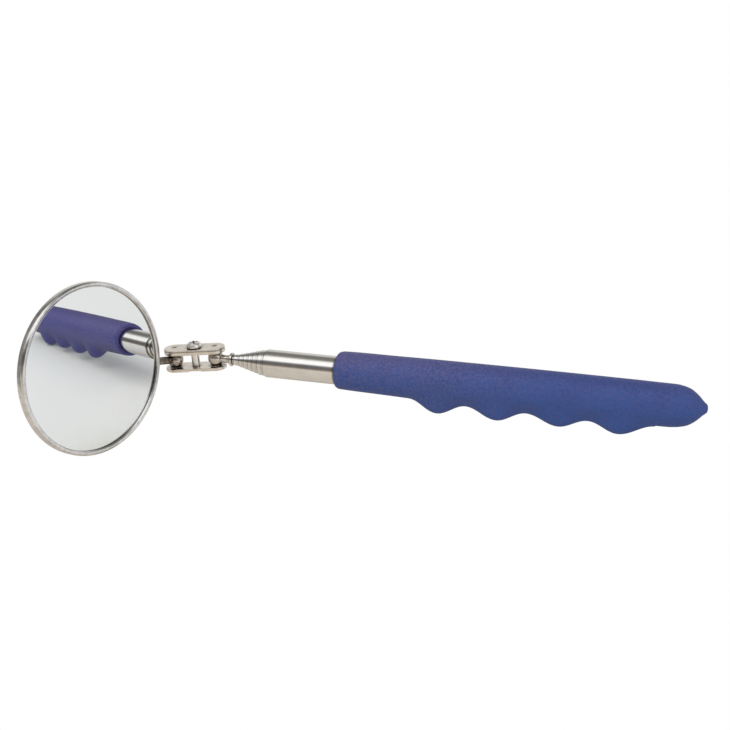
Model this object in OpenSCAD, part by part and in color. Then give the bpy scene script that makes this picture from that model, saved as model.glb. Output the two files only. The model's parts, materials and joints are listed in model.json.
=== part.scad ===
// Telescoping inspection mirror: vinyl grip, seven nested tubes, a clamped
// double ball link and a round framed mirror.
// +X runs along the tubes towards the grip end, Z is up, the finger bumps
// face -Z. The origin is on the tube axis, where the outer tube's parallel
// wall starts. All sizes are in millimetres.

/* [Telescopic tubes] */
// outside diameter of the outer tube
outer_tube_d = 10; // [9:0.1:12]
// how much smaller each inner tube is than the one around it
tube_step = 1; // [0.8:0.05:1.4]
// tube wall thickness
tube_wall = 0.2; // [0.15:0.01:0.3]
// wall thickness left at a necked mouth
neck_wall = 0.17; // [0.1:0.01:0.25]
// running clearance between a mouth and the tube inside it
mouth_slip = 0.04; // [0.02:0.01:0.1]
// length of the parallel part of a necked mouth
neck_len = 0.5; // [0.2:0.1:2]
// length of the taper behind a necked mouth
neck_taper = 0.7; // [0.3:0.1:2]
// mouth of the outer tube
outer_mouth_x = -2.55; // [-4:0.05:-2]
// mouth of the second tube when closed
second_mouth_x = -4.95; // [-8:0.05:-4]
// how far each further mouth stands out when closed
mouth_pitch = 1.92; // [1:0.02:2]
// mouth of the smallest tube when closed
last_mouth_x = -14.9; // [-16:0.1:-14]
// rear end of the six inner tubes when closed
tube_rear_x = 137; // [120:0.5:138]
// rear end of the outer tube
outer_rear_x = 139; // [122:0.5:140]
// length of the split friction bush at the rear of each inner tube
bush_len = 10; // [6:0.5:14]
// running clearance around each friction bush
bush_slip = 0.03; // [0.02:0.01:0.1]

/* [Grip] */
// front edge of the grip
grip_front_x = 24.7; // [20:0.1:30]
// radius of the round body of the grip
grip_r = 7.2; // [6.5:0.05:9]
// radius of the grip near its front edge
grip_front_r = 6.85; // [6:0.05:8]
// first finger bump
bump_x = 61.6; // [55:0.1:70]
// spacing of the finger bumps
bump_pitch = 20.2; // [16:0.1:24]
// bump tip, measured below the tube axis
bump_depth = 11.1; // [9:0.1:13]
// bottom of the valley between bumps, below the tube axis
valley_depth = 7.75; // [7.3:0.05:9]
// radius of the finger side of a bump's cross-section
bump_tip_r = 3.2; // [2:0.1:5]
// radius of the plain land behind the last bump
grip_tail_r = 7; // [6.8:0.05:7]
// front end of that plain land
grip_land_x = 133.4; // [133.2:0.1:136]
// rear end of that plain land
grip_tail_x = 138.6; // [136:0.1:140]
// very end of the grip
grip_end_x = 149.2; // [145:0.1:155]

/* [Ball link] */
// ball diameter
ball_d = 5.6; // [5.5:0.1:6]
// diameter of the two ball stems
stem_d = 2.8; // [2.4:0.1:2.8]
// diameter of the rod stem where it meets its collar
stem_foot_d = 3; // [2.8:0.1:3.4]
// diameter of the collar at the mouth of the smallest tube
collar_d = 4.9; // [4:0.1:6]
// centre of the rod ball when closed
rod_ball_x = -21.9; // [-25:0.1:-20]
// distance between the two ball centres
ball_gap = 14.7; // [13:0.1:20]
// length of the clamp plates
plate_len = 22.1; // [20:0.1:28]
// width of the clamp plates
plate_w = 7.6; // [7:0.1:10]
// thickness of the upper clamp plate
upper_plate_t = 1.9; // [1.2:0.1:2.5]
// thickness of the lower clamp plate
lower_plate_t = 1.2; // [1.1:0.1:2.5]
// space between the two clamp plates
plate_space = 5.2; // [5.1:0.05:5.4]
// height of the rim around each ball seat
seat_rim = 0.3; // [0.1:0.05:0.4]
// head diameter of the clamp screw
screw_head_d = 5.4; // [4.6:0.1:6]
// head height of the clamp screw
screw_head_h = 1.9; // [1:0.1:2.5]
// thread diameter of the clamp screw
screw_d = 2.9; // [2:0.1:3.2]

/* [Mirror head] */
// outside diameter of the framed mirror
bezel_d = 58.3; // [50:0.1:70]
// depth of the mirror frame, front to back
bezel_depth = 2.7; // [2.5:0.1:4]
// width of the rolled front lip
lip_w = 1.7; // [1:0.1:3]
// thickness of the rolled front lip
lip_t = 0.9; // [0.6:0.05:1.2]
// distance from the mirror ball to the centre of the mirror
stem_reach = 40.1; // [36:0.1:50]
// distance from the stem axis to the front plane of the mirror frame
stem_offset = 3.9; // [3.9:0.05:5]

/* [Rest pose] */
// roll of the ball link about the tube axis
link_roll = 23.3; // [-180:0.1:180]
// tilt of the rod ball between the clamp plates
rod_tilt = -3; // [-15:0.1:15]
// swing of the link about the rod ball, 0 is straight ahead
link_swing = 14.5; // [-110:0.1:110]
// swing of the mirror about its ball, 0 is straight ahead
mirror_swing = 55.9; // [-110:0.1:110]
// tilt of the mirror ball between the clamp plates
mirror_tilt = 14.8; // [-15.2:0.1:15.2]
// roll of the mirror about its own stem
mirror_roll = 86.8; // [-180:0.1:180]

/* [Hidden] */
outer_r = outer_tube_d / 2;
ball_r = ball_d / 2;
stem_r = stem_d / 2;
bore_r = 1.2;
seat_r = ball_r + 0.04;
bezel_r = bezel_d / 2;
half_space = plate_space / 2;
lobe_r = ((bump_pitch / 2) * (bump_pitch / 2) + (bump_depth - valley_depth)
         * (bump_depth - valley_depth)) / (4 * (bump_depth - valley_depth));
$fn = 96;

// turns something drawn around Z so that its Z axis lies along X
module along_x() { rotate([0, 90, 0]) children(); }

// the link's frame: rod ball at the origin, the link runs along -X
module at_link() {
    translate([rod_ball_x, 0, 0]) rotate([link_roll, 0, 0])
        rotate([0, rod_tilt, 0]) rotate([0, 0, link_swing]) children();
}

// the mirror stem's frame: mirror ball at the origin, stem along -X
module at_stem() {
    at_link() translate([-ball_gap, 0, 0]) rotate([0, 0, mirror_swing])
        rotate([0, mirror_tilt, 0]) children();
}

// the mirror's frame: as the stem's, with the mirror facing +Z
module at_head() { at_stem() rotate([mirror_roll, 0, 0]) children(); }

// the mirror disc's frame: centre of the front plane, facing +Z
module at_disc() {
    at_head() translate([-stem_reach, 0, stem_offset]) children();
}

// radius and closed mouth position of tube n, counted from the outer tube
function tube_r(n) = outer_r - (n - 1) * tube_step / 2;
function mouth_x(n) = n == 1 ? outer_mouth_x :
    n == 7 ? last_mouth_x : second_mouth_x - (n - 2) * mouth_pitch;

// a thin tube with a necked mouth at its front end; its parallel wall runs
// back from full
module necked_tube(r, front, full, rear, neck_r) {
    knee = front + neck_len;
    along_x() rotate_extrude() polygon([
        [neck_r, front], [neck_r + neck_wall - 0.08, front],
        [neck_r + neck_wall, front + 0.1], [neck_r + neck_wall, knee],
        [r - 0.06, knee + neck_taper - 0.25], [r, full], [r, rear],
        [r - tube_wall, rear],
        [r - tube_wall, full + 0.2], [neck_r, knee + 0.1]]);
}

// one inner tube with the small bell at its rear end
module inner_tube(n) {
    r = tube_r(n);
    neck = n == 7 ? r - 0.34 : tube_r(n + 1) + mouth_slip;
    full = mouth_x(n) + neck_len + neck_taper;
    necked_tube(r, mouth_x(n), full, tube_rear_x, neck);
    along_x() translate([0, 0, tube_rear_x - 0.8]) difference() {
        cylinder(r = r + 0.18, h = 0.8);
        translate([0, 0, -1]) cylinder(r = r - tube_wall / 2, h = 3);
    }
}

// split brass bush that gives an inner tube its sliding friction
module friction_bush(n) {
    r = tube_r(n);
    along_x() translate([0, 0, tube_rear_x - 0.85 - bush_len]) difference() {
        cylinder(r = r + tube_step / 2 - tube_wall - bush_slip, h = bush_len);
        translate([0, 0, -1]) cylinder(r = r + 0.01, h = bush_len + 2);
        translate([0, -0.4, -1]) cube([r + 2, 0.8, bush_len + 2]);
    }
}

module tube_2() color([0.80, 0.79, 0.76]) inner_tube(2);
module tube_3() color([0.80, 0.79, 0.76]) inner_tube(3);
module tube_4() color([0.80, 0.79, 0.76]) inner_tube(4);
module tube_5() color([0.80, 0.79, 0.76]) inner_tube(5);
module tube_6() color([0.80, 0.79, 0.76]) inner_tube(6);
module tube_7() color([0.80, 0.79, 0.76]) inner_tube(7);
module bush_2() color([0.78, 0.62, 0.30]) friction_bush(2);
module bush_3() color([0.78, 0.62, 0.30]) friction_bush(3);
module bush_4() color([0.78, 0.62, 0.30]) friction_bush(4);
module bush_5() color([0.78, 0.62, 0.30]) friction_bush(5);
module bush_6() color([0.78, 0.62, 0.30]) friction_bush(6);
module bush_7() color([0.78, 0.62, 0.30]) friction_bush(7);

module outer_tube() {
    color([0.82, 0.81, 0.78])
    necked_tube(outer_r, outer_mouth_x, 0, outer_rear_x, tube_r(2) + mouth_slip);
}

// plug that closes the rear of the outer tube and stops the inner tubes
module end_plug() {
    color([0.55, 0.56, 0.58]) along_x() {
        translate([0, 0, tube_rear_x + 0.1])
            cylinder(r = outer_r - tube_wall - 0.01, h = 2.2);
        translate([0, 0, outer_rear_x + 0.02])
            cylinder(r = outer_r - 0.02, h = 0.7);
    }
}

// side view of the finger bumps, as a plate that is cut to their outline
module bump_outline() {
    low = bump_depth - lobe_r;
    last = bump_x + 3 * bump_pitch;
    mid = (low + valley_depth + lobe_r) / 2;
    front_r = 4;
    front_drop = 7.05;
    front_dx = sqrt((lobe_r + front_r) * (lobe_r + front_r)
        - (front_drop + front_r - low) * (front_drop + front_r - low));
    rear_dx = sqrt(4 * lobe_r * lobe_r
        - (front_drop + lobe_r - low) * (front_drop + lobe_r - low));
    front_mid = low + (front_drop + front_r - low) * lobe_r / (lobe_r + front_r);
    rear_mid = (low + front_drop + lobe_r) / 2;
    front_tx = bump_x - front_dx * lobe_r / (lobe_r + front_r);
    rear_tx = last + rear_dx / 2;
    difference() {
        union() {
            polygon([[bump_x - front_dx, -3], [bump_x - front_dx, -front_mid],
                [front_tx, -front_mid], [bump_x, -mid], [last, -mid],
                [rear_tx, -rear_mid], [last + rear_dx, -rear_mid],
                [last + rear_dx, -3]]);
            for (i = [0:3]) translate([bump_x + i * bump_pitch, -low])
                circle(r = lobe_r);
        }
        for (i = [0:2]) translate([bump_x + (i + 0.5) * bump_pitch,
            -valley_depth - lobe_r]) circle(r = lobe_r);
        translate([bump_x - front_dx, -front_drop - front_r]) circle(r = front_r);
        translate([last + rear_dx, -front_drop - lobe_r]) circle(r = lobe_r);
        translate([0, -2.5]) square([200, 20]);
    }
}

// cross-section of the finger side: a narrow round tip with straight flanks
module bump_section() {
    drop = bump_depth - bump_tip_r;
    root = grip_r - 0.25;
    lean = asin((root - bump_tip_r) / drop);
    translate([0, -drop]) circle(r = bump_tip_r);
    polygon([[root * cos(lean), -root * sin(lean)],
        [bump_tip_r * cos(lean), -drop - bump_tip_r * sin(lean)],
        [-bump_tip_r * cos(lean), -drop - bump_tip_r * sin(lean)],
        [-root * cos(lean), -root * sin(lean)]]);
}

module vinyl_grip() {
    color([0.24, 0.28, 0.62]) difference() {
        union() {
            along_x() rotate_extrude() polygon([
                [0, grip_front_x], [5.5, grip_front_x],
                [6.05, grip_front_x + 0.35], [6.45, grip_front_x + 1],
                [6.7, grip_front_x + 2], [grip_front_r, grip_front_x + 4.4],
                [grip_r, grip_front_x + 26], [grip_r, grip_land_x - 0.3],
                [grip_tail_r, grip_land_x], [grip_tail_r, grip_tail_x],
                [6.95, grip_tail_x + 1.4], [6.6, grip_tail_x + 2.9],
                [6.1, grip_tail_x + 4.7], [5.1, grip_tail_x + 6.4],
                [3.5, grip_tail_x + 8.1], [1.9, grip_tail_x + 9.8],
                [1.2, grip_end_x - 0.1], [0.8, grip_end_x], [0, grip_end_x]]);
            intersection() {
                translate([0, 20, 0]) rotate([90, 0, 0]) linear_extrude(40)
                    bump_outline();
                translate([45, 0, 0]) rotate([90, 0, 90]) linear_extrude(100)
                    bump_section();
            }
        }
        along_x() translate([0, 0, grip_front_x - 1])
            cylinder(r = outer_r + 0.01, h = outer_rear_x + 1.78 - grip_front_x);
    }
}

// turned stem that runs in the smallest tube and carries the rod ball
module rod_stem() {
    plug_r = tube_r(7) - tube_wall - 0.03;
    neck_r = tube_r(7) - 0.38;
    collar_r = collar_d / 2;
    front = last_mouth_x - 1.2;
    color([0.80, 0.78, 0.74]) difference() {
        along_x() rotate_extrude() polygon([
            [0, rod_ball_x + 1.5], [stem_r, rod_ball_x + 1.5],
            [stem_r, rod_ball_x + 4.7], [stem_foot_d / 2, rod_ball_x + 5.2],
            [stem_foot_d / 2, front], [collar_r - 0.35, front],
            [collar_r, front + 0.3], [collar_r, front + 0.8],
            [collar_r - 0.3, front + 1.1], [neck_r, front + 1.1],
            [neck_r, last_mouth_x + 1.5], [plug_r, last_mouth_x + 1.5],
            [plug_r, last_mouth_x + 15], [0, last_mouth_x + 15]]);
        translate([rod_ball_x, 0, 0]) sphere(r = ball_r + 0.03);
    }
}

module rod_ball() {
    color([0.84, 0.82, 0.78]) translate([rod_ball_x, 0, 0]) sphere(r = ball_r);
}

// outline of half a clamp plate's cross-section, with a rounded outer edge
module plate_half(t, round_r) {
    square([plate_w / 2 - round_r, t]);
    square([plate_w / 2, t - round_r]);
    translate([plate_w / 2 - round_r, t - round_r]) circle(r = round_r);
}

// a clamp plate lying on z = 0, outer face up, centred between the balls
module plate_blank(t, round_r) {
    run = plate_len - plate_w;
    for (s = [-1, 1]) translate([s * run / 2, 0, 0]) rotate_extrude()
        intersection() {
            plate_half(t, round_r);
            square([plate_w, t + 1]);
        }
    translate([-run / 2, 0, 0]) rotate([90, 0, 90]) linear_extrude(run) {
        plate_half(t, round_r);
        mirror([1, 0]) plate_half(t, round_r);
    }
}

// a clamp plate with its two ball seats and its screw hole
module clamp_plate(t, round_r) {
    difference() {
        union() {
            translate([-ball_gap / 2, 0, half_space]) plate_blank(t, round_r);
            for (x = [0, -ball_gap])
                translate([x, 0, half_space - seat_rim])
                    cylinder(r = 2.2, h = seat_rim + 0.2);
        }
        for (x = [0, -ball_gap]) {
            translate([x, 0, 0]) sphere(r = seat_r);
            translate([x, 0, half_space + t + 2.2]) sphere(r = 2.5);
        }
        translate([-ball_gap / 2, 0, 0]) cylinder(r = screw_d / 2 + 0.02, h = 10);
    }
}

module upper_plate() {
    color([0.78, 0.75, 0.69]) at_link() clamp_plate(upper_plate_t, 0.6);
}

// the lower plate takes the screw and has a shallow recess across its middle
module lower_plate() {
    color([0.78, 0.75, 0.69]) at_link() mirror([0, 0, 1]) difference() {
        clamp_plate(lower_plate_t, 0.5);
        translate([-ball_gap / 2 - 2, -5, half_space + lower_plate_t - 0.25])
            cube([4, 10, 2]);
    }
}

// pan head screw with a cross recess; it clamps the plates on both balls
module clamp_screw() {
    top = half_space + upper_plate_t + 0.01;
    color([0.82, 0.80, 0.76]) at_link() translate([-ball_gap / 2, 0, 0])
    difference() {
        union() {
            translate([0, 0, top]) rotate_extrude() polygon([
                [0, 0], [screw_head_d / 2 - 0.2, 0], [screw_head_d / 2, 0.25],
                [screw_head_d / 2, screw_head_h * 0.45],
                [screw_head_d / 2 - 0.25, screw_head_h * 0.72],
                [screw_head_d / 2 - 0.8, screw_head_h * 0.92],
                [screw_head_d / 2 - 1.5, screw_head_h], [0, screw_head_h]]);
            translate([0, 0, -half_space - lower_plate_t + 0.1])
                cylinder(r = screw_d / 2, h = plate_space + lower_plate_t
                    + upper_plate_t + 0.4);
        }
        for (a = [20, 110]) rotate([0, 0, a])
            translate([-1.5, -0.3, top + screw_head_h - 0.9]) cube([3, 0.6, 2]);
    }
}

module mirror_ball() {
    color([0.70, 0.66, 0.60]) at_stem() sphere(r = ball_r);
}

// stem between the mirror ball and the strap behind the mirror
module mirror_stem() {
    color([0.45, 0.38, 0.33]) at_stem() difference() {
        along_x() {
            translate([0, 0, -30.2]) cylinder(r = 1.45, h = 0.9);
            translate([0, 0, -30]) cylinder(r = bore_r - 0.05, h = 20);
            translate([0, 0, -10.4]) cylinder(r1 = bore_r - 0.05, r2 = stem_r, h = 0.5);
            translate([0, 0, -9.9]) cylinder(r = stem_r, h = 8.3);
        }
        sphere(r = ball_r + 0.03);
    }
}

// formed strap, spot welded behind the mirror, that holds the stem
module stem_strap() {
    face = stem_offset - 2.35;
    color([0.70, 0.70, 0.70]) at_head() difference() {
        union() {
            along_x() translate([0, 0, -29.2]) cylinder(r = 1.6, h = 14.3);
            translate([-29.2, -1.6, 0]) cube([14.3, 3.2, face]);
            translate([-27.5, -6.5, face - 0.5]) cube([11, 13, 0.5]);
        }
        translate([-40, -10, face]) cube([40, 20, 5]);
        along_x() translate([0, 0, -40]) cylinder(r = bore_r, h = 40);
    }
}

module back_plate() {
    color([0.66, 0.66, 0.66]) at_disc() translate([0, 0, -2.34])
        cylinder(r = bezel_r - 0.75, h = 0.35);
}

module cushion_pad() {
    color([0.35, 0.34, 0.32]) at_disc() translate([0, 0, -1.98])
        cylinder(r = bezel_r - 0.7, h = 0.15);
}

module mirror_glass() {
    color([0.86, 0.89, 0.91]) at_disc() translate([0, 0, -1.82])
        cylinder(r = bezel_r - 0.6, h = 0.9);
}

// pressed frame ring: rolled front lip, rim wall and turned-in back edge
module bezel_ring() {
    roll = lip_t / 2;
    back = 0.35;
    color([0.75, 0.75, 0.75]) at_disc() rotate_extrude() {
        translate([bezel_r - lip_w + roll, -roll]) circle(r = roll);
        translate([bezel_r - roll, -roll]) circle(r = roll);
        translate([bezel_r - lip_w + roll, -lip_t])
            square([lip_w - lip_t, lip_t]);
        translate([bezel_r - 0.45, back - bezel_depth])
            square([0.45, bezel_depth - back - roll]);
        translate([bezel_r - back, back - bezel_depth]) circle(r = back);
        translate([bezel_r - 1.5, -bezel_depth]) square([1.5 - back, back]);
    }
}

vinyl_grip();
outer_tube();
end_plug();
tube_2();
tube_3();
tube_4();
tube_5();
tube_6();
tube_7();
bush_2();
bush_3();
bush_4();
bush_5();
bush_6();
bush_7();
rod_stem();
rod_ball();
upper_plate();
lower_plate();
clamp_screw();
mirror_ball();
mirror_stem();
stem_strap();
back_plate();
cushion_pad();
mirror_glass();
bezel_ring();
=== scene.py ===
import json
import math

import bmesh
import bpy
import numpy as np
from mathutils import Matrix, Vector


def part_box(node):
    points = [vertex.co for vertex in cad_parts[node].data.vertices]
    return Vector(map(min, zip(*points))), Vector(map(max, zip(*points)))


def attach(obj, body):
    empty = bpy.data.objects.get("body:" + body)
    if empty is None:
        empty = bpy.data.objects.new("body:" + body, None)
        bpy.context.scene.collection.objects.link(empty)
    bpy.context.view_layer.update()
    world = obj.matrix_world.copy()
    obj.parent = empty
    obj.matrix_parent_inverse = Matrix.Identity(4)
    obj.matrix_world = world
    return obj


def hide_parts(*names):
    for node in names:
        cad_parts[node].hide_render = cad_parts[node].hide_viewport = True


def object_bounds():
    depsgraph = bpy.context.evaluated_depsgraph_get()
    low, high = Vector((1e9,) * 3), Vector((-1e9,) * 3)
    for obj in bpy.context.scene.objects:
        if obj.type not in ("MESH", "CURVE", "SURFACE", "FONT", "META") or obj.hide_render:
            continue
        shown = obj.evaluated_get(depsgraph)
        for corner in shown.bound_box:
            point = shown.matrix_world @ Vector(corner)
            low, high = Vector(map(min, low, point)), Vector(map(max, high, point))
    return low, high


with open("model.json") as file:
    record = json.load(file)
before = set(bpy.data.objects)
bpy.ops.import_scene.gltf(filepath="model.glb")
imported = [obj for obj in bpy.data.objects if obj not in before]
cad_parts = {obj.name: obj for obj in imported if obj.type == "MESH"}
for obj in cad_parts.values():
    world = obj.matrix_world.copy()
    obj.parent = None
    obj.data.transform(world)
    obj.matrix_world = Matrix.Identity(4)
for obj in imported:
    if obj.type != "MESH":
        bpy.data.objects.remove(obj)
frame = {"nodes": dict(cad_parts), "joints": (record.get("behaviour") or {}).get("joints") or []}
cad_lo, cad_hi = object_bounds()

# The row frame: +X runs along the tubes to the grip's rear end, +Z is up and
# the finger bumps face -Z. Shapes are drawn in millimetres and placed in metres.
MM = 0.001
NODES = frame["nodes"]
JOINTS = {j["name"]: j for j in frame["joints"]}

# ---------------------------------------------------------------- frames
AXIS_X = Matrix.Rotation(math.pi / 2, 4, "Y")  # takes local Z to +X


def frame_from(origin, x, z):
    """A matrix with its origin there, its X axis along x and its Z axis near z."""
    x = Vector(x).normalized()
    y = Vector(z).cross(x).normalized()
    z = x.cross(y)
    m = Matrix((x, y, z)).transposed().to_4x4()
    m.translation = Vector(origin)
    return m


def node_points(name):
    """A CAD node's vertices at rest, as an array."""
    return np.array([v.co for v in NODES[name].data.vertices], float)


rod_ball = Vector(JOINTS["rod_ball_tilt"]["pos_m"])
mirror_ball = Vector(JOINTS["mirror_swing"]["pos_m"])
plate_up = Vector(JOINTS["link_swing"]["axis"])
stem_dir = Vector(JOINTS["mirror_spin"]["axis"]).normalized()
LINK = frame_from(rod_ball, rod_ball - mirror_ball, plate_up)
BALL_GAP = (rod_ball - mirror_ball).length / MM


def disc_frame():
    """The mirror's frame: Z is the way it faces, origin at its front plane."""
    glass = node_points("mirror_glass")
    centre = (glass.max(0) + glass.min(0)) / 2
    spread = np.linalg.svd(glass - centre, full_matrices=False)[2]
    normal = Vector(spread[2])
    if normal.x < 0:
        normal = -normal
    rim = node_points("bezel_ring")
    front = float((rim @ np.array(normal)).max())
    origin = Vector(centre) + normal * (front - float(centre @ np.array(normal)))
    return frame_from(origin, -stem_dir, normal)


DISC = disc_frame()
STEM = frame_from(mirror_ball, -stem_dir, DISC.col[2].to_3d())

# ---------------------------------------------------------------- meshes
CORNER_STEPS = 3  # straight steps round one softened corner


def soften(points, cut, closed=True):
    """Rounds a profile's corners by up to cut, with a holding point on each side."""
    out, n = [], len(points)
    for i, p in enumerate(points):
        p = np.array(p, float)
        if not closed and i in (0, n - 1):
            out.append(tuple(p))
            continue
        a, b = np.array(points[i - 1], float), np.array(points[(i + 1) % n], float)
        la, lb = np.linalg.norm(a - p), np.linalg.norm(b - p)
        c = min(cut, 0.4 * la, 0.4 * lb)
        ua, ub = (a - p) / la, (b - p) / lb
        if la > 2.5 * c:
            out.append(tuple(p + ua * c * 1.5))
        for k in range(CORNER_STEPS + 1):
            t = k / CORNER_STEPS
            out.append(tuple((1 - t) ** 2 * (p + ua * c) + 2 * t * (1 - t) * p
                             + t * t * (p + ub * c)))
        if lb > 2.5 * c:
            out.append(tuple(p + ub * c * 1.5))
    return out


def rings_mesh(rings, closed=False):
    """Joins rows of points into faces. A row of one point is a pole."""
    verts, rows, faces = [], [], []
    for ring in rings:
        rows.append(list(range(len(verts), len(verts) + len(ring))))
        verts.extend(ring)
    pairs = list(zip(rows, rows[1:]))
    if closed:
        pairs.append((rows[-1], rows[0]))
    for a, b in pairs:
        n = max(len(a), len(b))
        for k in range(n):
            m = (k + 1) % n
            if len(a) == 1:
                faces.append((a[0], b[m], b[k]))
            elif len(b) == 1:
                faces.append((a[k], a[m], b[0]))
            else:
                faces.append((a[k], a[m], b[m], b[k]))
    return verts, faces


def lathe(profile, segs):
    """A profile of (radius, height) in millimetres turned round Z."""
    turn = [2 * math.pi * k / segs for k in range(segs)]
    poles = profile[0][0] < 1e-6
    rings = []
    for r, z in profile:
        if r < 1e-6:
            rings.append([(0, 0, z)])
        else:
            rings.append([(r * math.cos(t), r * math.sin(t), z) for t in turn])
    return rings_mesh(rings, closed=not poles)


def piece(name, verts, faces, body, material, node, matrix=None,
          sharp=None):
    """A smooth mesh object, given in millimetres, that rides on a CAD body and
    stands in for the look of a CAD node."""
    mesh = bpy.data.meshes.new(name)
    mesh.from_pydata([tuple(c * MM for c in v) for v in verts], [], faces)
    if matrix is not None:
        mesh.transform(matrix)
    mesh.validate()
    obj = bpy.data.objects.new(name, mesh)
    bpy.context.scene.collection.objects.link(obj)
    make_outward(mesh)
    mesh.shade_smooth()
    if sharp is not None:
        mesh.set_sharp_from_angle(angle=math.radians(sharp))
    mesh.materials.append(material)
    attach(obj, body)
    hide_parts(node)


def make_outward(mesh):
    """Turns a closed mesh's faces outward."""
    bm = bmesh.new()
    bm.from_mesh(mesh)
    bmesh.ops.recalc_face_normals(bm, faces=bm.faces)
    if bm.calc_volume(signed=True) < 0:
        bmesh.ops.reverse_faces(bm, faces=bm.faces)
    bm.to_mesh(mesh)
    bm.free()


# ---------------------------------------------------------------- materials
class Shader:
    """A short way to write the node tree of a material or a world."""

    def __init__(self, owner):
        self.owner = owner
        self.owner.use_nodes = True
        self.tree = self.owner.node_tree
        self.tree.nodes.clear()

    def add(self, kind, inputs=None, **settings):
        """A new node, where an input is a value or another node's output."""
        node = self.tree.nodes.new(kind)
        for k, v in settings.items():
            setattr(node, k, v)
        for k, v in (inputs or {}).items():
            if isinstance(v, bpy.types.NodeSocket):
                self.tree.links.new(v, node.inputs[k])
            else:
                node.inputs[k].default_value = v
        return node

    def place(self, stretch):
        """Object coordinates in millimetres, stretched along each axis."""
        where = self.add("ShaderNodeTexCoord").outputs["Object"]
        size = tuple(1000 * s for s in stretch)
        return self.add("ShaderNodeMapping", {"Vector": where, "Scale": size}
                        ).outputs["Vector"]

    def noise(self, where, scale, detail, rough=0.55):
        """A cloudy pattern, most of it between 0.3 and 0.7."""
        return self.add("ShaderNodeTexNoise", {"Vector": where, "Scale": scale,
                        "Detail": detail, "Roughness": rough}).outputs["Fac"]

    def span(self, value, lo, hi, from_lo=0.3, from_hi=0.7):
        """Takes from_lo to lo and from_hi to hi, and goes no further."""
        return self.add("ShaderNodeMapRange", {"Value": value,
                        "From Min": from_lo, "From Max": from_hi,
                        "To Min": lo, "To Max": hi}).outputs["Result"]

    def mix(self, factor, a, b):
        """The colour a where the factor is 0, and b where it is 1."""
        node = self.add("ShaderNodeMix", data_type="RGBA")
        for socket, v in ((0, factor), (6, a), (7, b)):
            if isinstance(v, bpy.types.NodeSocket):
                self.tree.links.new(v, node.inputs[socket])
            elif socket == 0:
                node.inputs[0].default_value = v
            else:
                node.inputs[socket].default_value = (*v, 1)
        return node.outputs[2]

    def math(self, what, a, b):
        return self.add("ShaderNodeMath", {0: a, 1: b}, operation=what).outputs[0]

    def bump(self, height, strength, distance, normal=None):
        """Surface relief, with its distance in metres."""
        inputs = {"Height": height, "Strength": strength, "Distance": distance}
        if normal is not None:
            inputs["Normal"] = normal
        return self.add("ShaderNodeBump", inputs).outputs["Normal"]

    def finish(self, inputs):
        """Ends a material that is one shader with these inputs."""
        shader = self.add("ShaderNodeBsdfPrincipled", inputs)
        self.add("ShaderNodeOutputMaterial", {"Surface": shader.outputs[0]})
        return self.owner


def new_material(name):
    return Shader(bpy.data.materials.new(name))


def metal(name, light, dark, *, rough, grain_scale, depth, grain=(1, 1, 1),
          patch=0.25, crease=None, rim=0.0, open_from=0.25, crease_shade=0.16):
    """Plated or polished metal with fine drawn lines and uneven polish. Painted
    shade darkens its creases, and more painted shade darkens it where it turns
    away. The grain's depth and the reach of a crease are in millimetres."""
    s = new_material(name)
    lines = s.noise(s.place(grain), grain_scale, 4, 0.6)
    blotch = s.noise(s.place((1, 1, 1)), patch, 3, 0.5)
    colour = s.mix(s.span(s.math("ADD", s.math("MULTIPLY", lines, 0.5),
                                 s.math("MULTIPLY", blotch, 0.5)), 0, 1),
                   dark, light)
    # painted shade in the creases: where little sky is open, the colour goes towards a darkened
    # copy of the dark tone
    if crease:
        open_sky = s.add("ShaderNodeAmbientOcclusion", {"Distance": crease * MM},
                         samples=8).outputs["AO"]
        colour = s.mix(s.span(open_sky, 0, 1, open_from, 0.95),
                       tuple(crease_shade * c for c in dark), colour)
    # painted shade: where the surface turns away from the view, its colour goes darker
    if rim:
        turned = s.add("ShaderNodeLayerWeight", {"Blend": 0.5}).outputs["Facing"]
        colour = s.mix(s.span(turned, 0, rim, 0.55, 1.0), colour,
                       tuple(0.2 * c for c in dark))
    roughness = s.span(blotch, rough[0], rough[1])
    normal = s.bump(lines, 0.5, depth * MM)
    return s.finish({"Base Color": colour, "Metallic": 1.0,
                     "Roughness": roughness, "Normal": normal})


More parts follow.
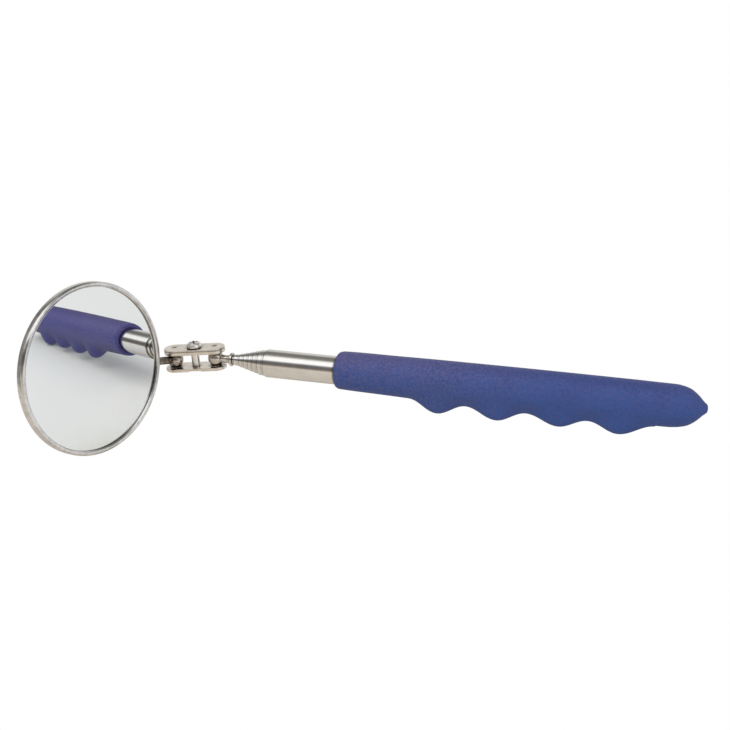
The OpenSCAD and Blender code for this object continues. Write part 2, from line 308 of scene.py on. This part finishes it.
def vinyl():
    """Soft blue vinyl with a fine leather grain; the front is worn. Painted light:
    upward faces are painted warmer, downward ones a brighter blue, a painted sheen
    makes it more violet seen from the mirror's end, and painted shade darkens it
    where it turns away."""
    s = new_material("blue_vinyl")
    where = s.place((1, 1, 1))
    facing = s.add("ShaderNodeSeparateXYZ", {
        0: s.add("ShaderNodeTexCoord").outputs["Normal"]}).outputs[2]
    seen_from = s.add("ShaderNodeSeparateXYZ", {
        0: s.add("ShaderNodeNewGeometry").outputs["Incoming"]}).outputs[0]
    # painted light: downward faces get a brighter blue, upward ones a warmer top colour (warmer
    # at the front than the rear), with a cloudy border between them
    drift = s.math("MULTIPLY", s.math("SUBTRACT", s.noise(where, 0.1, 4, 0.65), 0.5),
                   1.5)
    painted_top_light = s.span(s.math("ADD", facing, drift), 0, 1, -0.45, 0.75)
    along = s.add("ShaderNodeSeparateXYZ", {0: where}).outputs[0]
    upper = s.mix(s.span(along, 0, 1, 20, 100), (0.072, 0.076, 0.205),
                  (0.034, 0.058, 0.205))
    body = s.mix(painted_top_light, (0.044, 0.097, 0.322), upper)
    # painted sheen: seen from the mirror's end, the vinyl is more violet
    body = s.mix(s.span(seen_from, 0.7, 0, -0.6, -0.35), body, (0.070, 0.058, 0.25))
    mottle = s.noise(where, 1.3, 6, 0.8)
    worn = s.span(along, 1, 0.4, 50, 100)
    light_spots = s.math("MULTIPLY", s.span(mottle, 0, 0.9, 0.45, 0.62), worn)
    dark_spots = s.math("MULTIPLY", s.span(mottle, 0.6, 0, 0.34, 0.47), worn)
    body = s.mix(light_spots, body, (0.128, 0.112, 0.245))
    body = s.mix(dark_spots, body, (0.034, 0.045, 0.19))
    # painted shade: darker where the grip turns away from the view
    turned = s.add("ShaderNodeLayerWeight", {"Blend": 0.5}).outputs["Facing"]
    body = s.mix(s.span(turned, 0, 0.45, 0.7, 1.0), body, (0.03, 0.022, 0.06))
    cells = s.add("ShaderNodeTexVoronoi", {"Vector": where, "Scale": 1.5,
                  "Randomness": 1.0}, feature="SMOOTH_F1").outputs["Distance"]
    grain = s.bump(cells, 0.45, 0.10 * MM)
    fine = s.bump(s.noise(where, 3.2, 5, 0.7), 0.5, 0.08 * MM, grain)
    return s.finish({"Base Color": body, "Roughness": s.span(mottle, 0.62, 0.48),
                     "Specular IOR Level": 0.25, "Normal": fine})


def mirror_coat():
    """Front silvering: almost perfect, faintly uneven."""
    s = new_material("silvered_glass")
    haze = s.noise(s.place((1, 1, 1)), 0.06, 2)
    colour = s.mix(s.span(haze, 0, 1), (0.875, 0.890, 0.885), (0.895, 0.905, 0.90))
    return s.finish({"Base Color": colour, "Metallic": 1.0, "Roughness": 0.0})


def fibre():
    """Dark fibre sheet."""
    s = new_material("fibre_sheet")
    fleck = s.noise(s.place((1, 1, 1)), 2.0, 4)
    return s.finish({"Base Color": s.mix(fleck, (0.05, 0.048, 0.045),
                                         (0.14, 0.135, 0.125)),
                     "Roughness": 0.85, "Normal": s.bump(fleck, 0.4, 0.05 * MM)})


tube_metal = metal("drawn_nickel", (0.86, 0.845, 0.82), (0.74, 0.72, 0.69),
                   rough=(0.09, 0.16), grain=(0.02, 2.5, 2.5), grain_scale=1.6,
                   depth=0.0012, crease=1.0, rim=0.45, open_from=0.7, crease_shade=0.05)
ring_metal = metal("turned_nickel", (0.84, 0.82, 0.79), (0.66, 0.63, 0.6),
                   rough=(0.1, 0.18), grain=(3, 0.4, 0.4), grain_scale=1.5,
                   depth=0.0012, crease=1.6, rim=0.85, open_from=0.35)
ball_metal = metal("ball_steel", (0.82, 0.77, 0.71), (0.50, 0.45, 0.40),
                   rough=(0.12, 0.26), grain_scale=0.8, depth=0.003, patch=0.5,
                   crease=1.6, rim=0.5)
# a darker, more mottled steel for the mirror's ball
dark_mottled_metal = metal("dark_mottled_ball", (0.86, 0.78, 0.71), (0.10, 0.08, 0.07),
                   rough=(0.12, 0.3), grain_scale=0.9, depth=0.008, patch=0.75,
                   crease=2.0, rim=0.7)
plate_metal = metal("plate_nickel", (0.93, 0.88, 0.81), (0.64, 0.56, 0.48),
                    rough=(0.12, 0.24), grain_scale=0.5, depth=0.004, patch=0.35,
                    crease=1.5, rim=0.3)
screw_metal = metal("screw_nickel", (1.0, 0.98, 0.95), (0.86, 0.83, 0.79),
                    rough=(0.26, 0.36), grain_scale=1.0, depth=0.002, patch=0.5,
                    crease=0.7, rim=0.2)
stem_metal = metal("brown_stem", (0.46, 0.40, 0.35), (0.06, 0.048, 0.04),
                   rough=(0.22, 0.4), grain_scale=1.1, depth=0.008, patch=0.8,
                   crease=1.5, rim=0.5)
bezel_metal = metal("pressed_steel", (0.90, 0.89, 0.88), (0.50, 0.49, 0.48),
                    rough=(0.1, 0.22), grain=(0.5, 0.5, 0.5), grain_scale=1.2,
                    depth=0.005, patch=0.2, crease=0.9, rim=0.12, open_from=0.3,
                    crease_shade=0.6)
sheet_metal = metal("sheet_steel", (0.66, 0.66, 0.66), (0.5, 0.5, 0.5),
                    rough=(0.3, 0.42), grain=(0.3, 0.3, 3), grain_scale=0.8,
                    depth=0.004, patch=0.1, crease=1.5)
brass = metal("spring_brass", (0.80, 0.62, 0.28), (0.62, 0.46, 0.18),
              rough=(0.22, 0.36), grain=(0.1, 2, 2), grain_scale=1.0, depth=0.002)
blue_vinyl = vinyl()
silver = mirror_coat()
fibre_sheet = fibre()

# ---------------------------------------------------------------- the grip
GRIP_SEGS = 168  # points round one section
TIP_R = 3.2  # radius of the finger side of the section
FRONT_STRETCH, FRONT_STEP = 3, 0.3  # how long the front edge is, and its steps
BODY_STEP = 0.5
TAIL_START, TAIL_STEP = 139, 0.25  # where the rear end starts to round off
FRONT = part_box("vinyl_grip")[0].x / MM  # front edge of the grip
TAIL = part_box("vinyl_grip")[1].x / MM  # rear end of the grip
BORE_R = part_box("outer_tube")[1].z / MM + 0.01
BORE_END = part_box("end_plug")[1].x / MM + 0.1
BORE_EDGE = 0.12  # size of the bevel at the bore's front edge
# the lower edge of the grip, as turning points of a wave: place along the
# grip, depth below the axis
WAVE = ((51.0, 7.05), (61.4, 11.1), (71.0, 7.65), (81.8, 11.2), (91.6, 7.8),
        (102.5, 10.95), (112.0, 8.05), (121.9, 11.2), (133.6, 7.45))
# the round body: place along the grip, radius, how far its centre sits up
BODY = ((FRONT, 5.5, 0.15), (FRONT + 0.2, 5.98, 0.15), (FRONT + 0.6, 6.34, 0.16),
        (FRONT + 1.2, 6.57, 0.2), (FRONT + 2.4, 6.69, 0.24), (33, 6.84, 0.22),
        (43, 6.95, 0.14), (52, 7.1, 0.06), (60, 7.22, 0.0), (90, 7.27, 0.0),
        (112, 7.2, 0.0), (126, 7.12, 0.0), (134, 7.1, -0.08), (137.8, 7.04, -0.06),
        (139.65, 6.9, 0.0), (141.4, 6.58, 0.0), (143.2, 6.02, 0.0),
        (144.9, 5.0, 0.0), (146.4, 3.72, 0.0), (147.7, 2.35, 0.0),
        (148.5, 1.65, 0.0), (149.0, 1.15, 0.0), (TAIL, 0.0, 0.0))


def smooth_steps(table, column, x):
    """Monotone cubic reading of a table of turning points."""
    xs = np.array([row[0] for row in table])
    ys = np.array([row[column] for row in table])
    d = np.diff(ys) / np.diff(xs)
    m = np.concatenate([[d[0]], np.zeros(len(d) - 1), [d[-1]]])
    for i in range(1, len(d)):
        if d[i - 1] * d[i] > 0:
            m[i] = 2 * d[i - 1] * d[i] / (d[i - 1] + d[i])
    i = int(np.clip(np.searchsorted(xs, x) - 1, 0, len(d) - 1))
    h = xs[i + 1] - xs[i]
    t = min(max((x - xs[i]) / h, 0.0), 1.0)
    return float(ys[i] * (1 + 2 * t) * (1 - t) ** 2 + m[i] * h * t * (1 - t) ** 2
                 + ys[i + 1] * t * t * (3 - 2 * t) + m[i + 1] * h * t * t * (t - 1))


def wave_depth(x):
    """Depth of the finger side below the axis, or 0 away from the bumps."""
    if x <= WAVE[0][0] or x >= WAVE[-1][0]:
        return 0.0
    for (x0, d0), (x1, d1) in zip(WAVE, WAVE[1:]):
        if x0 <= x <= x1:
            s = (1 - math.cos(math.pi * (x - x0) / (x1 - x0))) / 2
            return d0 + (d1 - d0) * s
    return 0.0


def section_radius(angle, r, depth):
    """Polar radius of a round body with a narrower round finger side below."""
    c = depth - TIP_R
    if c <= r - TIP_R + 0.01:
        return r
    turn = math.acos((r - TIP_R) / c)
    touch = math.atan2(TIP_R * math.sin(turn), c + TIP_R * math.cos(turn))
    a = abs(angle)
    if a >= turn:
        return r
    if a >= touch:
        return r / math.cos(turn - a)
    return c * math.cos(a) + math.sqrt(TIP_R ** 2 - (c * math.sin(a)) ** 2)


def ring_angles():
    """Angles round a section of the grip, where 0 is straight down."""
    return [math.pi * (2 * k / GRIP_SEGS - 1) for k in range(GRIP_SEGS)]


def grip_ring(x):
    """One outer section of the grip."""
    r = smooth_steps(BODY, 1, x)
    up = smooth_steps(BODY, 2, x)
    depth = wave_depth(x) + up
    ring = []
    for a in ring_angles():
        rad = section_radius(a, r, depth) if depth > r else r
        ring.append((x, rad * math.sin(a), up - rad * math.cos(a)))
    return ring


def bore_ring(x, r):
    """One section of the bore that the outer tube sits in."""
    return [(x, r * math.sin(a), -r * math.cos(a)) for a in ring_angles()]


def build_grip():
    xs = [FRONT + FRONT_STEP * k for k in range(round(FRONT_STRETCH / FRONT_STEP))]
    xs += list(np.arange(FRONT + FRONT_STRETCH, TAIL_START, BODY_STEP))
    xs += list(np.arange(TAIL_START, TAIL - 0.2, TAIL_STEP))
    xs += [TAIL - 0.15, TAIL - 0.05]
    rings = [[(BORE_END, 0, 0)], bore_ring(BORE_END, BORE_R),
             bore_ring(FRONT + 1, BORE_R), bore_ring(FRONT + BORE_EDGE, BORE_R),
             bore_ring(FRONT, BORE_R + BORE_EDGE)]
    rings += [grip_ring(float(x)) for x in xs]
    rings.append([(TAIL, 0, 0)])
    verts, faces = rings_mesh(rings)
    piece("grip_skin", verts, faces, "handle", blue_vinyl,
          "vinyl_grip")


build_grip()

# ---------------------------------------------------------------- the tubes
TUBES = 7
LIP, NECK_WALL, WALL = 0.08, 0.1, 0.2  # wall at the mouth, the neck and behind
NECK = 0.46  # a tube's outer radius less the inner radius of its mouth
LAST_NECK = 0.34  # the same for the smallest tube
SHOULDER, FULL = 0.76, 1.5  # where a mouth widens, and where it is full size
BELL, BELL_LEN = 0.18, 0.8  # height and length of an inner tube's rear bell


def tube_profile(r, neck_r, front, rear, bell):
    """The closed section of one tube: necked mouth, shoulder, bell behind."""
    points = [(neck_r, front), (neck_r + LIP, front),
              (neck_r + NECK_WALL, front + SHOULDER),
              (r - 0.03, front + SHOULDER + 0.1), (r, front + FULL)]
    if bell:
        points += [(r, rear - BELL_LEN), (r + BELL, rear - BELL_LEN),
                   (r + BELL, rear)]
    else:
        points.append((r, rear))
    points += [(r - WALL, rear), (r - WALL, front + FULL - 0.15),
               (neck_r, front + SHOULDER + 0.14)]
    return soften(points, cut=0.05)


def build_tube(n):
    """Tube n of the telescope, counted from the outer tube."""
    outer = n == 1
    node = "outer_tube" if outer else f"tube_{n}"
    body = "handle" if outer else f"tube_{n}_body"
    lo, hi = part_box(node)
    r = hi.z / MM - (0 if outer else BELL)
    neck_r = r - (LAST_NECK if n == TUBES else NECK)
    profile = tube_profile(r, neck_r, lo.x / MM, hi.x / MM, bell=not outer)
    verts, faces = lathe(profile, segs=160 - 12 * n)  # the smaller, the fewer
    piece(f"{node}_skin", verts, faces, body, tube_metal, node, AXIS_X,
          sharp=50)


for tube in range(1, TUBES + 1):
    build_tube(tube)

# ---------------------------------------------------------------- balls and rod
BALL_R = 2.8
STEM_R = 1.4  # radius of both stems where they meet their balls
STEM_SEAT_R = BALL_R + 0.03  # hollow in a stem's end that its ball sits in
BEAD_R = 0.55  # radius of the rod collar's rounded edge


def stem_seat(side):
    """The arc of the hollow in a stem's end, for a ball at the origin. The stem
    goes to +Z when side is 1 and to -Z when it is -1."""
    return [(STEM_SEAT_R * math.sin(a), side * STEM_SEAT_R * math.cos(a))
            for a in np.linspace(0, math.asin(STEM_R / STEM_SEAT_R), 8)]


def build_rod():
    """The stem and its collar at the front of the smallest tube."""
    collar_r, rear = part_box("rod_stem")[1].z / MM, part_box("rod_stem")[1].x / MM
    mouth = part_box("tube_7")[0].x / MM
    ball_x = rod_ball.x / MM
    foot_r, neck_r, plug_r = 1.5, 1.62, 1.77
    foot, collar, plug = ball_x + 4.7, mouth - 1.2, mouth + 1.5  # where each starts
    seat = [(r, ball_x + z) for r, z in stem_seat(1)]
    points = seat + soften([
        seat[-1], (STEM_R, foot), (foot_r, foot + 0.5), (foot_r, collar)],
        cut=0.12, closed=False)[1:]
    points += [(collar_r - BEAD_R + BEAD_R * math.sin(a),
                collar + BEAD_R - BEAD_R * math.cos(a))
               for a in np.linspace(0, math.pi, 16)]
    points += soften([
        (neck_r, collar + 2 * BEAD_R), (neck_r, plug), (plug_r, plug),
        (plug_r, rear), (0, rear)], cut=0.12, closed=False)
    verts, faces = lathe(points, 96)
    piece("rod_stem_skin", verts, faces, "rod_tip", ring_metal,
          "rod_stem", AXIS_X, sharp=60)


def build_ball(node, where, steel):
    """A full ball, whose poles face the two clamp plates."""
    turn = LINK.copy()
    turn.translation = where
    profile = [(BALL_R * math.sin(a), -BALL_R * math.cos(a))
               for a in np.linspace(0, math.pi, 48)]
    profile[0], profile[-1] = (0, -BALL_R), (0, BALL_R)
    verts, faces = lathe(profile, 96)
    piece(f"{node}_skin", verts, faces, f"{node}_body", steel, node,
          turn)


build_rod()
build_ball("rod_ball", rod_ball, ball_metal)
build_ball("mirror_ball", mirror_ball, dark_mottled_metal)

# ---------------------------------------------------------------- clamp plates
PLATE_W, PLATE_L = 7.6, 22.1
HALF_SPACE = 2.6  # from the balls' centres to a plate's inner face
SEAT_R = BALL_R + 0.04  # spherical seat in a plate
SEAT_MOUTH = 1.66  # radius of the seat's edge
# for each feature of a face: its size, then where it starts and stops to fade
SEAT_RIM, SEAT_RIM_FADE = 0.3, (2.2, 2.45)  # flat rim that stands round a seat
CUP, CUP_FADE = 0.3, (0.2, 1.75)  # cup in the outer face over each ball
SLOT, SLOT_FADE = 0.28, (1.9, 2.3)  # slot across the lower plate
THIN = 0.02  # half width of the thin line that a face is drawn in to
END_POINTS, SIDE_POINTS = 44, 48  # steps round one end and along one side
# the groove along the upper plate's edge: how deep, how far below the face
GROOVE = ((0, 0.84), (0.03, 0.76), (0.27, 0.68), (0.3, 0.55), (0.27, 0.42),
          (0.03, 0.36), (0, 0.31))


def stadium(inset):
    """The outline of a clamp plate, drawn in by inset, as (x, y) points."""
    r, run, out = PLATE_W / 2 - inset, (PLATE_L - PLATE_W) / 2, []
    for side, start in ((1, -math.pi / 2), (-1, math.pi / 2)):
        for k in range(END_POINTS + 1):
            a = start + math.pi * k / END_POINTS
            out.append((side * run + r * math.cos(a), r * math.sin(a)))
        for k in range(1, SIDE_POINTS):
            x = side * run * (1 - 2 * k / SIDE_POINTS)
            out.append((x, side * r))
    return out


def blend(x, lo, hi):
    """A smooth step from 0 at lo to 1 at hi."""
    t = min(max((x - lo) / (hi - lo), 0.0), 1.0)
    return t * t * (3 - 2 * t)


def from_ball(x, y):
    """Distance in the plate's plane from the nearer ball's centre."""
    return min(math.hypot(x - BALL_GAP / 2, y), math.hypot(x + BALL_GAP / 2, y))


def plate_under(x, y):
    """Height of the face that holds the balls, above the balls' centres."""
    rho = from_ball(x, y)
    if rho < SEAT_MOUTH:
        return math.sqrt(SEAT_R ** 2 - rho ** 2)
    return HALF_SPACE - SEAT_RIM * (1 - blend(rho, *SEAT_RIM_FADE))


def plate_over(x, y, thick, slot):
    """Height of the outer face: a shallow cup over each ball."""
    z = HALF_SPACE + thick - CUP * (1 - blend(from_ball(x, y), *CUP_FADE))
    if slot:
        z -= SLOT * (1 - blend(abs(x), *SLOT_FADE))
    return z


def close_row(first, n):
    """Faces that close a plate outline that has been drawn in to a thin line."""
    tip, faces = END_POINTS // 2, []
    for k in range(n // 2):
        row = (tip + k, tip + k + 1, (tip - k - 1) % n, (tip - k) % n)
        faces.append(tuple(dict.fromkeys(first + i for i in row)))
    return faces


def clamp_plate(node, thick, edge, upper):
    """A plate as rings from the middle of its inner face, round its edge, to
    the middle of its outer face. Only the upper one has the edge groove, and
    only the lower one the slot."""
    def outer_ring(inset, drop):
        return [(x, y, plate_over(x, y, thick, not upper) - drop)
                for x, y in stadium(inset)]

    # each ring of the inner face: how far it is drawn in, and how far it rises
    steps = [(inset, 0) for inset in np.linspace(PLATE_W / 2 - THIN, 0.35, 22)]
    steps += [(0.15, 0), (0.04, 0.05), (0, 0.2)]
    rings = [[(x, y, plate_under(x, y) + rise) for x, y in stadium(inset)]
             for inset, rise in steps]
    if upper:
        rings += [outer_ring(inset, drop) for inset, drop in GROOVE]
    for a in np.linspace(0, math.pi / 2, 9):
        rings.append(outer_ring(edge * (1 - math.cos(a)), edge * (1 - math.sin(a))))
    for inset in np.linspace(edge + 0.12, PLATE_W / 2 - THIN, 24):
        rings.append(outer_ring(inset, 0))
    verts, faces = rings_mesh(rings)
    n = len(rings[0])
    faces += close_row(0, n) + close_row(len(verts) - n, n)
    side = 1 if upper else -1
    verts = [(-BALL_GAP / 2 + x, y, side * z) for x, y, z in verts]
    piece(f"{node}_skin", verts, faces, "link", plate_metal, node,
          LINK, sharp=55)


clamp_plate("upper_plate", thick=1.9, edge=0.28, upper=True)
clamp_plate("lower_plate", thick=1.2, edge=0.4, upper=False)

# ---------------------------------------------------------------- mirror head
RIM = max((DISC.inverted() @ Vector(p)).xy.length for p in
          node_points("bezel_ring")) / MM  # outer radius of the frame ring
RING_DEPTH = 2.7
LIP_W, LIP_R = 1.7, 0.45  # width of the front lip, radius of its inner edge
EDGE_R, BACK_R = 0.7, 0.35  # outer radii in front and behind
RING_WALL, BACK_WALL, BACK_W = 0.45, 0.34, 1.5  # rim, and turned-in back
GLASS_FRONT, GLASS_BACK = -1.0, -1.82  # measured from the ring's front plane
GLASS_R = RIM - 0.6


def arc(x, z, r, start, stop, points):
    """Points round (x, z), where the angles are in quarter turns."""
    return [(x + r * math.cos(a), z + r * math.sin(a))
            for a in np.linspace(start * math.pi / 2, stop * math.pi / 2, points)]


def build_bezel():
    """Pressed ring: rolled front lip, rim wall and turned-in back edge, which
    meets the wall's inside in a slant."""
    wall, inside = RIM - RING_WALL, BACK_WALL - RING_DEPTH
    lip = arc(RIM - LIP_W + LIP_R, -LIP_R, LIP_R, -1, -3, 12)
    edge = arc(RIM - EDGE_R, -EDGE_R, EDGE_R, 1, 0, 10)
    back = arc(RIM - BACK_R, BACK_R - RING_DEPTH, BACK_R, 0, -1, 6)
    inner = [(RIM - BACK_W, -RING_DEPTH), (RIM - BACK_W, inside),
             (wall - 0.27, inside), (wall, inside + 0.31), (wall, -2 * LIP_R)]
    verts, faces = lathe(lip + edge + back + inner, 224)
    piece("bezel_skin", verts, faces, "mirror_head", bezel_metal,
          "bezel_ring", DISC, sharp=50)


def build_glass():
    points = soften([(0, GLASS_BACK), (GLASS_R, GLASS_BACK), (GLASS_R, GLASS_FRONT),
                     (0, GLASS_FRONT)], cut=0.12, closed=False)
    verts, faces = lathe(points, 192)
    piece("mirror_disc", verts, faces, "mirror_head", silver,
          "mirror_glass", DISC, sharp=30)


def build_stem():
    """The stem between the mirror ball and the strap, with a stop at its end."""
    thin_r, stop_r = 1.15, 1.45
    thin, stop, end = -10.4, -29.3, -30.2  # where each starts, from the ball
    seat = stem_seat(-1)
    points = seat + soften([
        seat[-1], (STEM_R, thin + 0.5), (thin_r, thin), (thin_r, stop),
        (stop_r, stop), (stop_r, end), (0, end)], cut=0.1, closed=False)[1:]
    verts, faces = lathe(points, 80)
    piece("mirror_stem_skin", verts, faces, "mirror_stem_body", stem_metal,
          "mirror_stem", STEM @ AXIS_X, sharp=60)


build_bezel()
build_glass()
build_stem()

# ---------------------------------------------------------------- CAD nodes kept
def dress_cad_nodes():
    """Gives a material to the CAD nodes that show as they are."""
    kept = {"end_plug": sheet_metal, "clamp_screw": screw_metal,
            "stem_strap": sheet_metal, "back_plate": sheet_metal,
            "cushion_pad": fibre_sheet}
    kept.update({f"bush_{n}": brass for n in range(2, TUBES + 1)})
    for node, material in kept.items():
        NODES[node].data.materials.clear()
        NODES[node].data.materials.append(material)


dress_cad_nodes()

# ---------------------------------------------------------------- stage
# The floor: its normal, and its edges from the point that the mirror rests on
FLOOR_UP = (-0.0724, -0.3296, 0.9414)
FLOOR_ALONG, FLOOR_BACK = (-0.6, 2.6), (-0.115, 2.6)


def floor_material():
    """White paper, with a yellow tint painted into the shade close to the tool. The camera looks
    through it, so that it never cuts off a part that has been moved below it.
    Metal that looks down on it, or back towards the mirror's end, sees a painted reflection:
    a warmer, duller tone with a painted glow. Matt surfaces get an even painted glow from it, a
    fill light."""
    s = new_material("white_paper")
    path = s.add("ShaderNodeLightPath")
    geometry = s.add("ShaderNodeNewGeometry")
    behind = geometry.outputs["Backfacing"]
    slant = s.add("ShaderNodeLayerWeight", {"Blend": 0.5}).outputs["Facing"]
    seen_from = s.add("ShaderNodeSeparateXYZ", {0: geometry.outputs["Incoming"]})
    # painted reflection: seen steeply or from the mirror's end, metal sees the paper darker and
    # warmer, partly as a glow
    painted_reflection_mask = s.math("MAXIMUM", s.span(slant, 1, 0, 0.45, 0.62),
                   s.span(seen_from.outputs[0], 0, 1, -0.75, -0.5))
    tone = s.noise(s.place((1, 1, 1)), 0.02, 2)
    white = s.mix(tone, (0.86, 0.865, 0.86), (0.88, 0.885, 0.88))
    # painted shade tint: where the tool hides the sky, the paper goes yellower
    open_sky = s.add("ShaderNodeAmbientOcclusion", {"Distance": 70 * MM}, samples=16)
    white = s.mix(s.span(open_sky.outputs["AO"], 1, 0, 0.3, 0.75), white,
                  (0.87, 0.85, 0.75))
    paper = s.add("ShaderNodeBsdfDiffuse", {
        "Color": s.mix(painted_reflection_mask, white, (0.40, 0.37, 0.33))})
    painted_reflection_glow = s.add("ShaderNodeEmission", {
        "Color": s.mix(painted_reflection_mask, (0, 0, 0), (0.30, 0.272, 0.245)), "Strength": 1.0})
    # painted fill light: matt surfaces see the paper as an even glow
    glow = s.add("ShaderNodeEmission", {"Color": (1, 1, 1, 1), "Strength": 0.55})
    clear = s.add("ShaderNodeBsdfTransparent")
    seen = s.add("ShaderNodeAddShader", {0: paper.outputs[0], 1: painted_reflection_glow.outputs[0]})
    lit = s.add("ShaderNodeMixShader", {0: path.outputs["Is Diffuse Ray"],
                                        1: seen.outputs[0], 2: glow.outputs[0]})
    away = s.math("MAXIMUM", behind, path.outputs["Is Camera Ray"])
    both = s.add("ShaderNodeMixShader", {0: away, 1: lit.outputs[0],
                                         2: clear.outputs[0]})
    s.add("ShaderNodeOutputMaterial", {"Surface": both.outputs[0]})
    return s.owner


def build_floor():
    """The floor under the tool, which rests on the mirror's rim and on the
    last finger bump. The camera looks down on it a little."""
    up = Vector(FLOOR_UP).normalized()
    along = (Vector((1, 0, 0)) - up * up.x).normalized()
    back = up.cross(along)
    rim = min((Vector(v.co) for v in NODES["bezel_ring"].data.vertices),
              key=lambda p: p.dot(up))
    centre = along * rim.dot(along) + up * rim.dot(up)
    (left, right), (near, far) = FLOOR_ALONG, FLOOR_BACK
    corners = [centre + along * a + back * b for a, b in
               ((left, near), (right, near), (right, far), (left, far))]
    mesh = bpy.data.meshes.new("pale_floor")
    mesh.from_pydata([tuple(c) for c in corners], [], [(0, 1, 2, 3)])
    mesh.materials.append(floor_material())
    obj = bpy.data.objects.new("pale_floor", mesh)
    bpy.context.scene.collection.objects.link(obj)


build_floor()

# what shiny metal sees round the X axis: degrees up from the way towards the
# viewer, and the colour there
SKY_BANDS = ((-180, (0.80, 0.80, 0.80)), (-120, (0.62, 0.58, 0.52)),
             (-85, (0.50, 0.465, 0.405)), (-27, (0.61, 0.565, 0.495)),
             (-20, (0.42, 0.385, 0.33)), (-11, (0.15, 0.13, 0.12)),
             (5, (0.11, 0.11, 0.11)), (14, (0.18, 0.18, 0.185)),
             (19, (0.34, 0.34, 0.35)), (27, (1.0, 1.0, 1.0)),
             (52, (1.0, 1.0, 1.0)), (64, (0.5, 0.495, 0.48)),
             (74, (0.2, 0.195, 0.185)), (105, (0.16, 0.155, 0.145)),
             (122, (0.5, 0.49, 0.48)), (140, (0.66, 0.655, 0.645)),
             (180, (0.62, 0.615, 0.60)))


def build_world():
    """Even white light, with a studio drawn into what shiny metal reflects.
    The camera sees plain white."""
    world = bpy.data.worlds.new("studio")
    bpy.context.scene.world = world
    s = Shader(world)
    axes = s.add("ShaderNodeSeparateXYZ", {
        0: s.add("ShaderNodeTexCoord").outputs["Generated"]})
    forward = s.math("MULTIPLY", axes.outputs[1], -1)
    height = s.math("ARCTAN2", axes.outputs[2], forward)
    ramp = s.add("ShaderNodeValToRGB", {0: s.span(height, 0, 1, -math.pi, math.pi)})
    stops = ramp.color_ramp.elements
    stops.remove(stops[1])
    for i, (degrees, colour) in enumerate(SKY_BANDS):
        at = (degrees + 180) / 360
        stop = stops[0] if i == 0 else stops.new(at)
        stop.position = at
        stop.color = (*colour, 1)
    # straight along the tube towards the mirror the room is dim
    room = s.mix(s.span(axes.outputs[0], 0, 1, -0.80, -0.93), ramp.outputs[0],
                 (0.22, 0.21, 0.20))
    shiny = s.add("ShaderNodeBackground", {"Color": room, "Strength": 1.25})
    even = s.add("ShaderNodeBackground", {"Color": (1, 1, 1, 1), "Strength": 0.68})
    white = s.add("ShaderNodeBackground", {"Color": (1, 1, 1, 1)})
    paths = s.add("ShaderNodeLightPath")
    light = s.add("ShaderNodeMixShader", {0: paths.outputs["Is Glossy Ray"],
                                          1: even.outputs[0], 2: shiny.outputs[0]})
    both = s.add("ShaderNodeMixShader", {0: paths.outputs["Is Camera Ray"],
                                         1: light.outputs[0], 2: white.outputs[0]})
    s.add("ShaderNodeOutputWorld", {"Surface": both.outputs[0]})


build_world()

KEY_PLACE = (0.05, -0.74, 0.66)  # where X counts from the tool's middle
KEY_SIZE, KEY_WATTS = (1.3, 0.9), 5.1


def build_key_light():
    """One large soft light above and in front of the tool."""
    middle = (cad_lo + cad_hi) / 2
    place = Vector(KEY_PLACE) + Vector((middle.x, 0, 0))
    data = bpy.data.lights.new("soft_key", "AREA")
    data.shape = "RECTANGLE"
    data.size, data.size_y = KEY_SIZE
    data.energy = KEY_WATTS
    obj = bpy.data.objects.new("soft_key", data)
    bpy.context.scene.collection.objects.link(obj)
    obj.location = place
    obj.rotation_mode = "QUATERNION"
    obj.rotation_quaternion = (middle - place).to_track_quat("-Z", "Y")
    obj.visible_glossy = False
    obj.visible_camera = False


build_key_light()

# ---------------------------------------------------------------- camera
CAMERA_PLACE = (0.14395, -0.37397, 0.00014)
CAMERA_RIGHT = (0.95469, 0.27908, 0.10332)
CAMERA_BACK = (0.28127, -0.95960, -0.00700)  # the way from the tool to the camera
LENS, SENSOR = 55.3, 36  # in millimetres


def build_camera():
    """The photograph's view: the camera stands in front of the grip's rear end
    and looks left towards the mirror, rolled a little."""
    data = bpy.data.cameras.new("camera")
    data.sensor_width = SENSOR
    data.lens = LENS
    data.clip_start, data.clip_end = 0.01, 20
    obj = bpy.data.objects.new("camera", data)
    bpy.context.scene.collection.objects.link(obj)
    back = Vector(CAMERA_BACK).normalized()
    up = back.cross(Vector(CAMERA_RIGHT)).normalized()
    right = up.cross(back)
    turn = Matrix((right, up, back)).transposed().to_4x4()
    turn.translation = Vector(CAMERA_PLACE)
    obj.matrix_world = turn
    bpy.context.scene.camera = obj


build_camera()
bpy.context.scene.view_settings.view_transform = "Standard"
bpy.context.scene.view_settings.look = "None"
